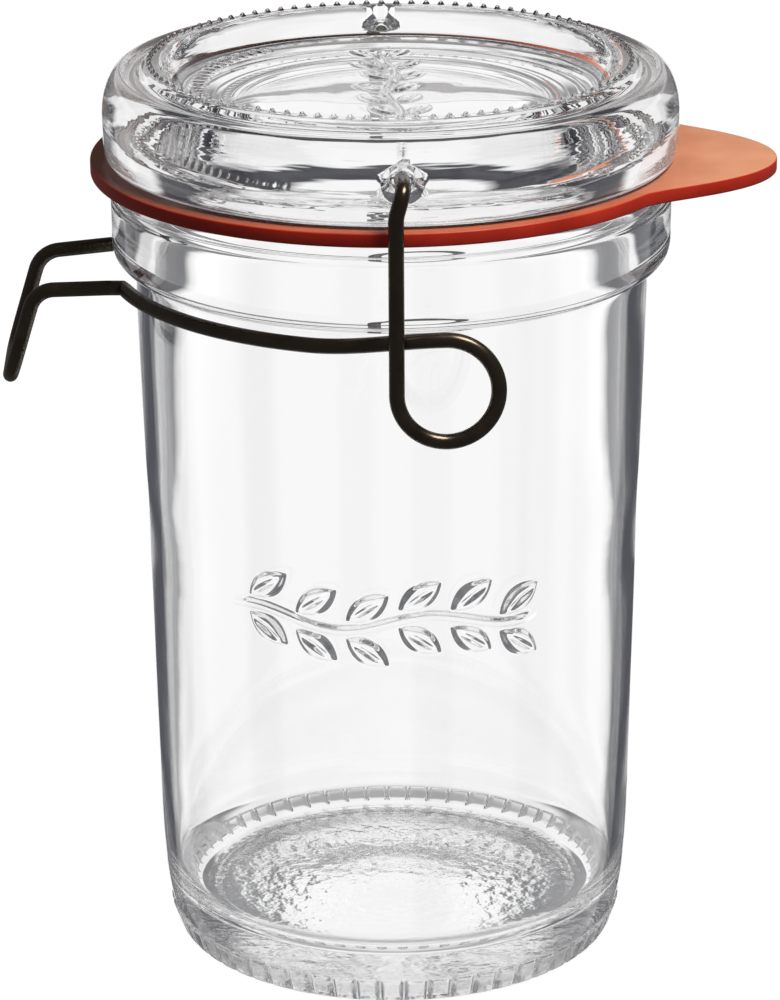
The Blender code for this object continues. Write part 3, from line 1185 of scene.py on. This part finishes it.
def make_world():
    """A bright studio in all directions, with dark gaps between its panels."""
    world = bpy.data.worlds.new("studio")
    bpy.context.scene.world = world
    world.use_nodes = True
    tree = world.node_tree
    tree.nodes.clear()
    link = tree.links.new
    out = tree.nodes.new("ShaderNodeOutputWorld")
    where = tree.nodes.new("ShaderNodeTexCoord")
    split = tree.nodes.new("ShaderNodeSeparateXYZ")
    link(where.outputs["Generated"], split.inputs[0])

    def maths(operation, *values):
        made = tree.nodes.new("ShaderNodeMath")
        made.operation = operation
        for socket, value in zip(made.inputs, values):
            if isinstance(value, (int, float)):
                socket.default_value = value
            else:
                link(value, socket)
        return made.outputs[0]

    def levels(value, stops, low, high):
        """The colour at an angle between low and high, from (angle, level) stops."""
        made = tree.nodes.new("ShaderNodeValToRGB")
        ramp = made.color_ramp
        ramp.interpolation = "LINEAR"
        for i, (place, level) in enumerate(stops):
            share = (place - low) / (high - low)
            if i < 2:
                stop = ramp.elements[i]
                stop.position = share
            else:
                stop = ramp.elements.new(share)
            stop.color = (*level, 1.0) if isinstance(level, tuple) else grey(level)
        link(maths("DIVIDE", maths("SUBTRACT", value, low), high - low), made.inputs["Fac"])
        return made.outputs["Color"]

    azimuth = maths("ARCTAN2", split.outputs["X"], split.outputs["Y"])
    from_view = maths("MULTIPLY", maths("ADD", azimuth, VIEW_TURN), 180 / pi)
    off_view = maths("WRAP", from_view, 180.0, -180.0)
    elevation = maths("MULTIPLY", maths("ARCSINE", split.outputs["Z"]), 180 / pi)
    around = levels(off_view, AZIMUTH_LEVELS, -180, 180)
    ahead = levels(elevation, AHEAD_LEVELS, -90, 90)
    beside = levels(elevation, SIDE_LEVELS, -90, 90)

    def rising(value, start, full):
        """From 0 to 1, smoothly, while a value goes from start to full."""
        made = tree.nodes.new("ShaderNodeMapRange")
        made.interpolation_type = "SMOOTHSTEP"
        made.inputs["From Min"].default_value = start
        made.inputs["From Max"].default_value = full
        link(value, made.inputs["Value"])
        return made.outputs["Result"]

    steep = maths(
        "MAXIMUM",
        rising(elevation, UP_START, UP_FULL),
        rising(maths("MULTIPLY", elevation, -1.0), DOWN_START, DOWN_FULL),
    )
    off_either_way = maths("ABSOLUTE", off_view)
    sideways = maths("MINIMUM", off_either_way, maths("SUBTRACT", 180.0, off_either_way))
    polar = mixed(tree, rising(sideways, SIDE_START, SIDE_FULL), ahead, beside)
    level = mixed(tree, steep, around, polar)

    def background(colour):
        made = tree.nodes.new("ShaderNodeBackground")
        if isinstance(colour, tuple):
            made.inputs["Color"].default_value = colour
        else:
            link(colour, made.inputs["Color"])
        return made.outputs[0]

    def choose(ray, other, chosen):
        """One background for the rays of a kind, another for the rest."""
        mix = tree.nodes.new("ShaderNodeMixShader")
        link(ray, mix.inputs["Fac"])
        link(other, mix.inputs[1])
        link(chosen, mix.inputs[2])
        return mix.outputs[0]

    path = tree.nodes.new("ShaderNodeLightPath")
    seen = background(level)
    clear_ray = maths("MAXIMUM", path.outputs["Is Singular Ray"], path.outputs["Is Transmission Ray"])
    rough_ray = maths("MULTIPLY", path.outputs["Is Glossy Ray"], maths("SUBTRACT", 1.0, clear_ray))
    dull_ray = maths("MINIMUM", path.outputs["Diffuse Depth"], 1.0)
    seen = choose(rough_ray, seen, background(grey(ROUGH_LEVEL)))
    seen = choose(dull_ray, seen, background(grey(DIFFUSE_LEVEL)))
    seen = choose(path.outputs["Is Camera Ray"], seen, background(grey(1.0)))
    link(seen, out.inputs["Surface"])
    world.cycles.sampling_method = "MANUAL"
    world.cycles.sample_map_resolution = STUDIO_MAP_SIZE


KEY_PLACE = Vector((0.40, -0.28, 1.02))
KEY_SIZE = 0.45
KEY_WATTS = 13.5
KEY_COLOUR = (1.0, 0.93, 0.84)
KEY_AIM = Vector((0.0, 0.0, 0.12))


def make_key():
    """A soft box on the right that lights only the rubber and the wire."""
    data = bpy.data.lights.new("key", "AREA")
    data.shape = "DISK"
    data.size = KEY_SIZE
    data.energy = KEY_WATTS
    data.color = KEY_COLOUR
    lamp = bpy.data.objects.new("key", data)
    lamp.location = KEY_PLACE
    lamp.rotation_euler = (KEY_AIM - KEY_PLACE).to_track_quat("-Z", "Y").to_euler()
    lamp.visible_camera = False
    lamp.visible_transmission = False
    bpy.context.scene.collection.objects.link(lamp)
    lit = bpy.data.collections.new("lit_by_key")
    for piece in (gasket, wire):
        lit.objects.link(piece)
    lamp.light_linking.receiver_collection = lit


CAMERA_PLACE = Vector((-25.68, -686.65, 329.17)) * MM
CAMERA_DOWN = 19.894
CAMERA_ROLL = -0.338
SENSOR = 36.0
LENS_TO_SENSOR = 4.07756
LIGHT_BOUNCES = 40
GLOSSY_BOUNCES = 24


def make_camera():
    """The camera in front of the jar and above it, looking down by CAMERA_DOWN degrees."""
    data = bpy.data.cameras.new("camera")
    data.sensor_fit = "AUTO"
    data.sensor_width = SENSOR
    data.lens = LENS_TO_SENSOR * SENSOR
    data.clip_start = 0.01
    data.clip_end = 50.0
    camera = bpy.data.objects.new("camera", data)
    bpy.context.scene.collection.objects.link(camera)
    turn = (
        Matrix.Rotation(VIEW_TURN, 4, "Z")
        @ Matrix.Rotation(radians(90.0 - CAMERA_DOWN), 4, "X")
        @ Matrix.Rotation(radians(CAMERA_ROLL), 4, "Z")
    )
    camera.matrix_world = Matrix.Translation(CAMERA_PLACE) @ turn
    bpy.context.scene.camera = camera


make_floor()
make_world()
make_key()
make_camera()
view = bpy.context.scene.view_settings
view.view_transform = "Standard"
view.look = "None"
bounces = bpy.context.scene.cycles
bounces.max_bounces = LIGHT_BOUNCES
bounces.transmission_bounces = LIGHT_BOUNCES
bounces.glossy_bounces = GLOSSY_BOUNCES
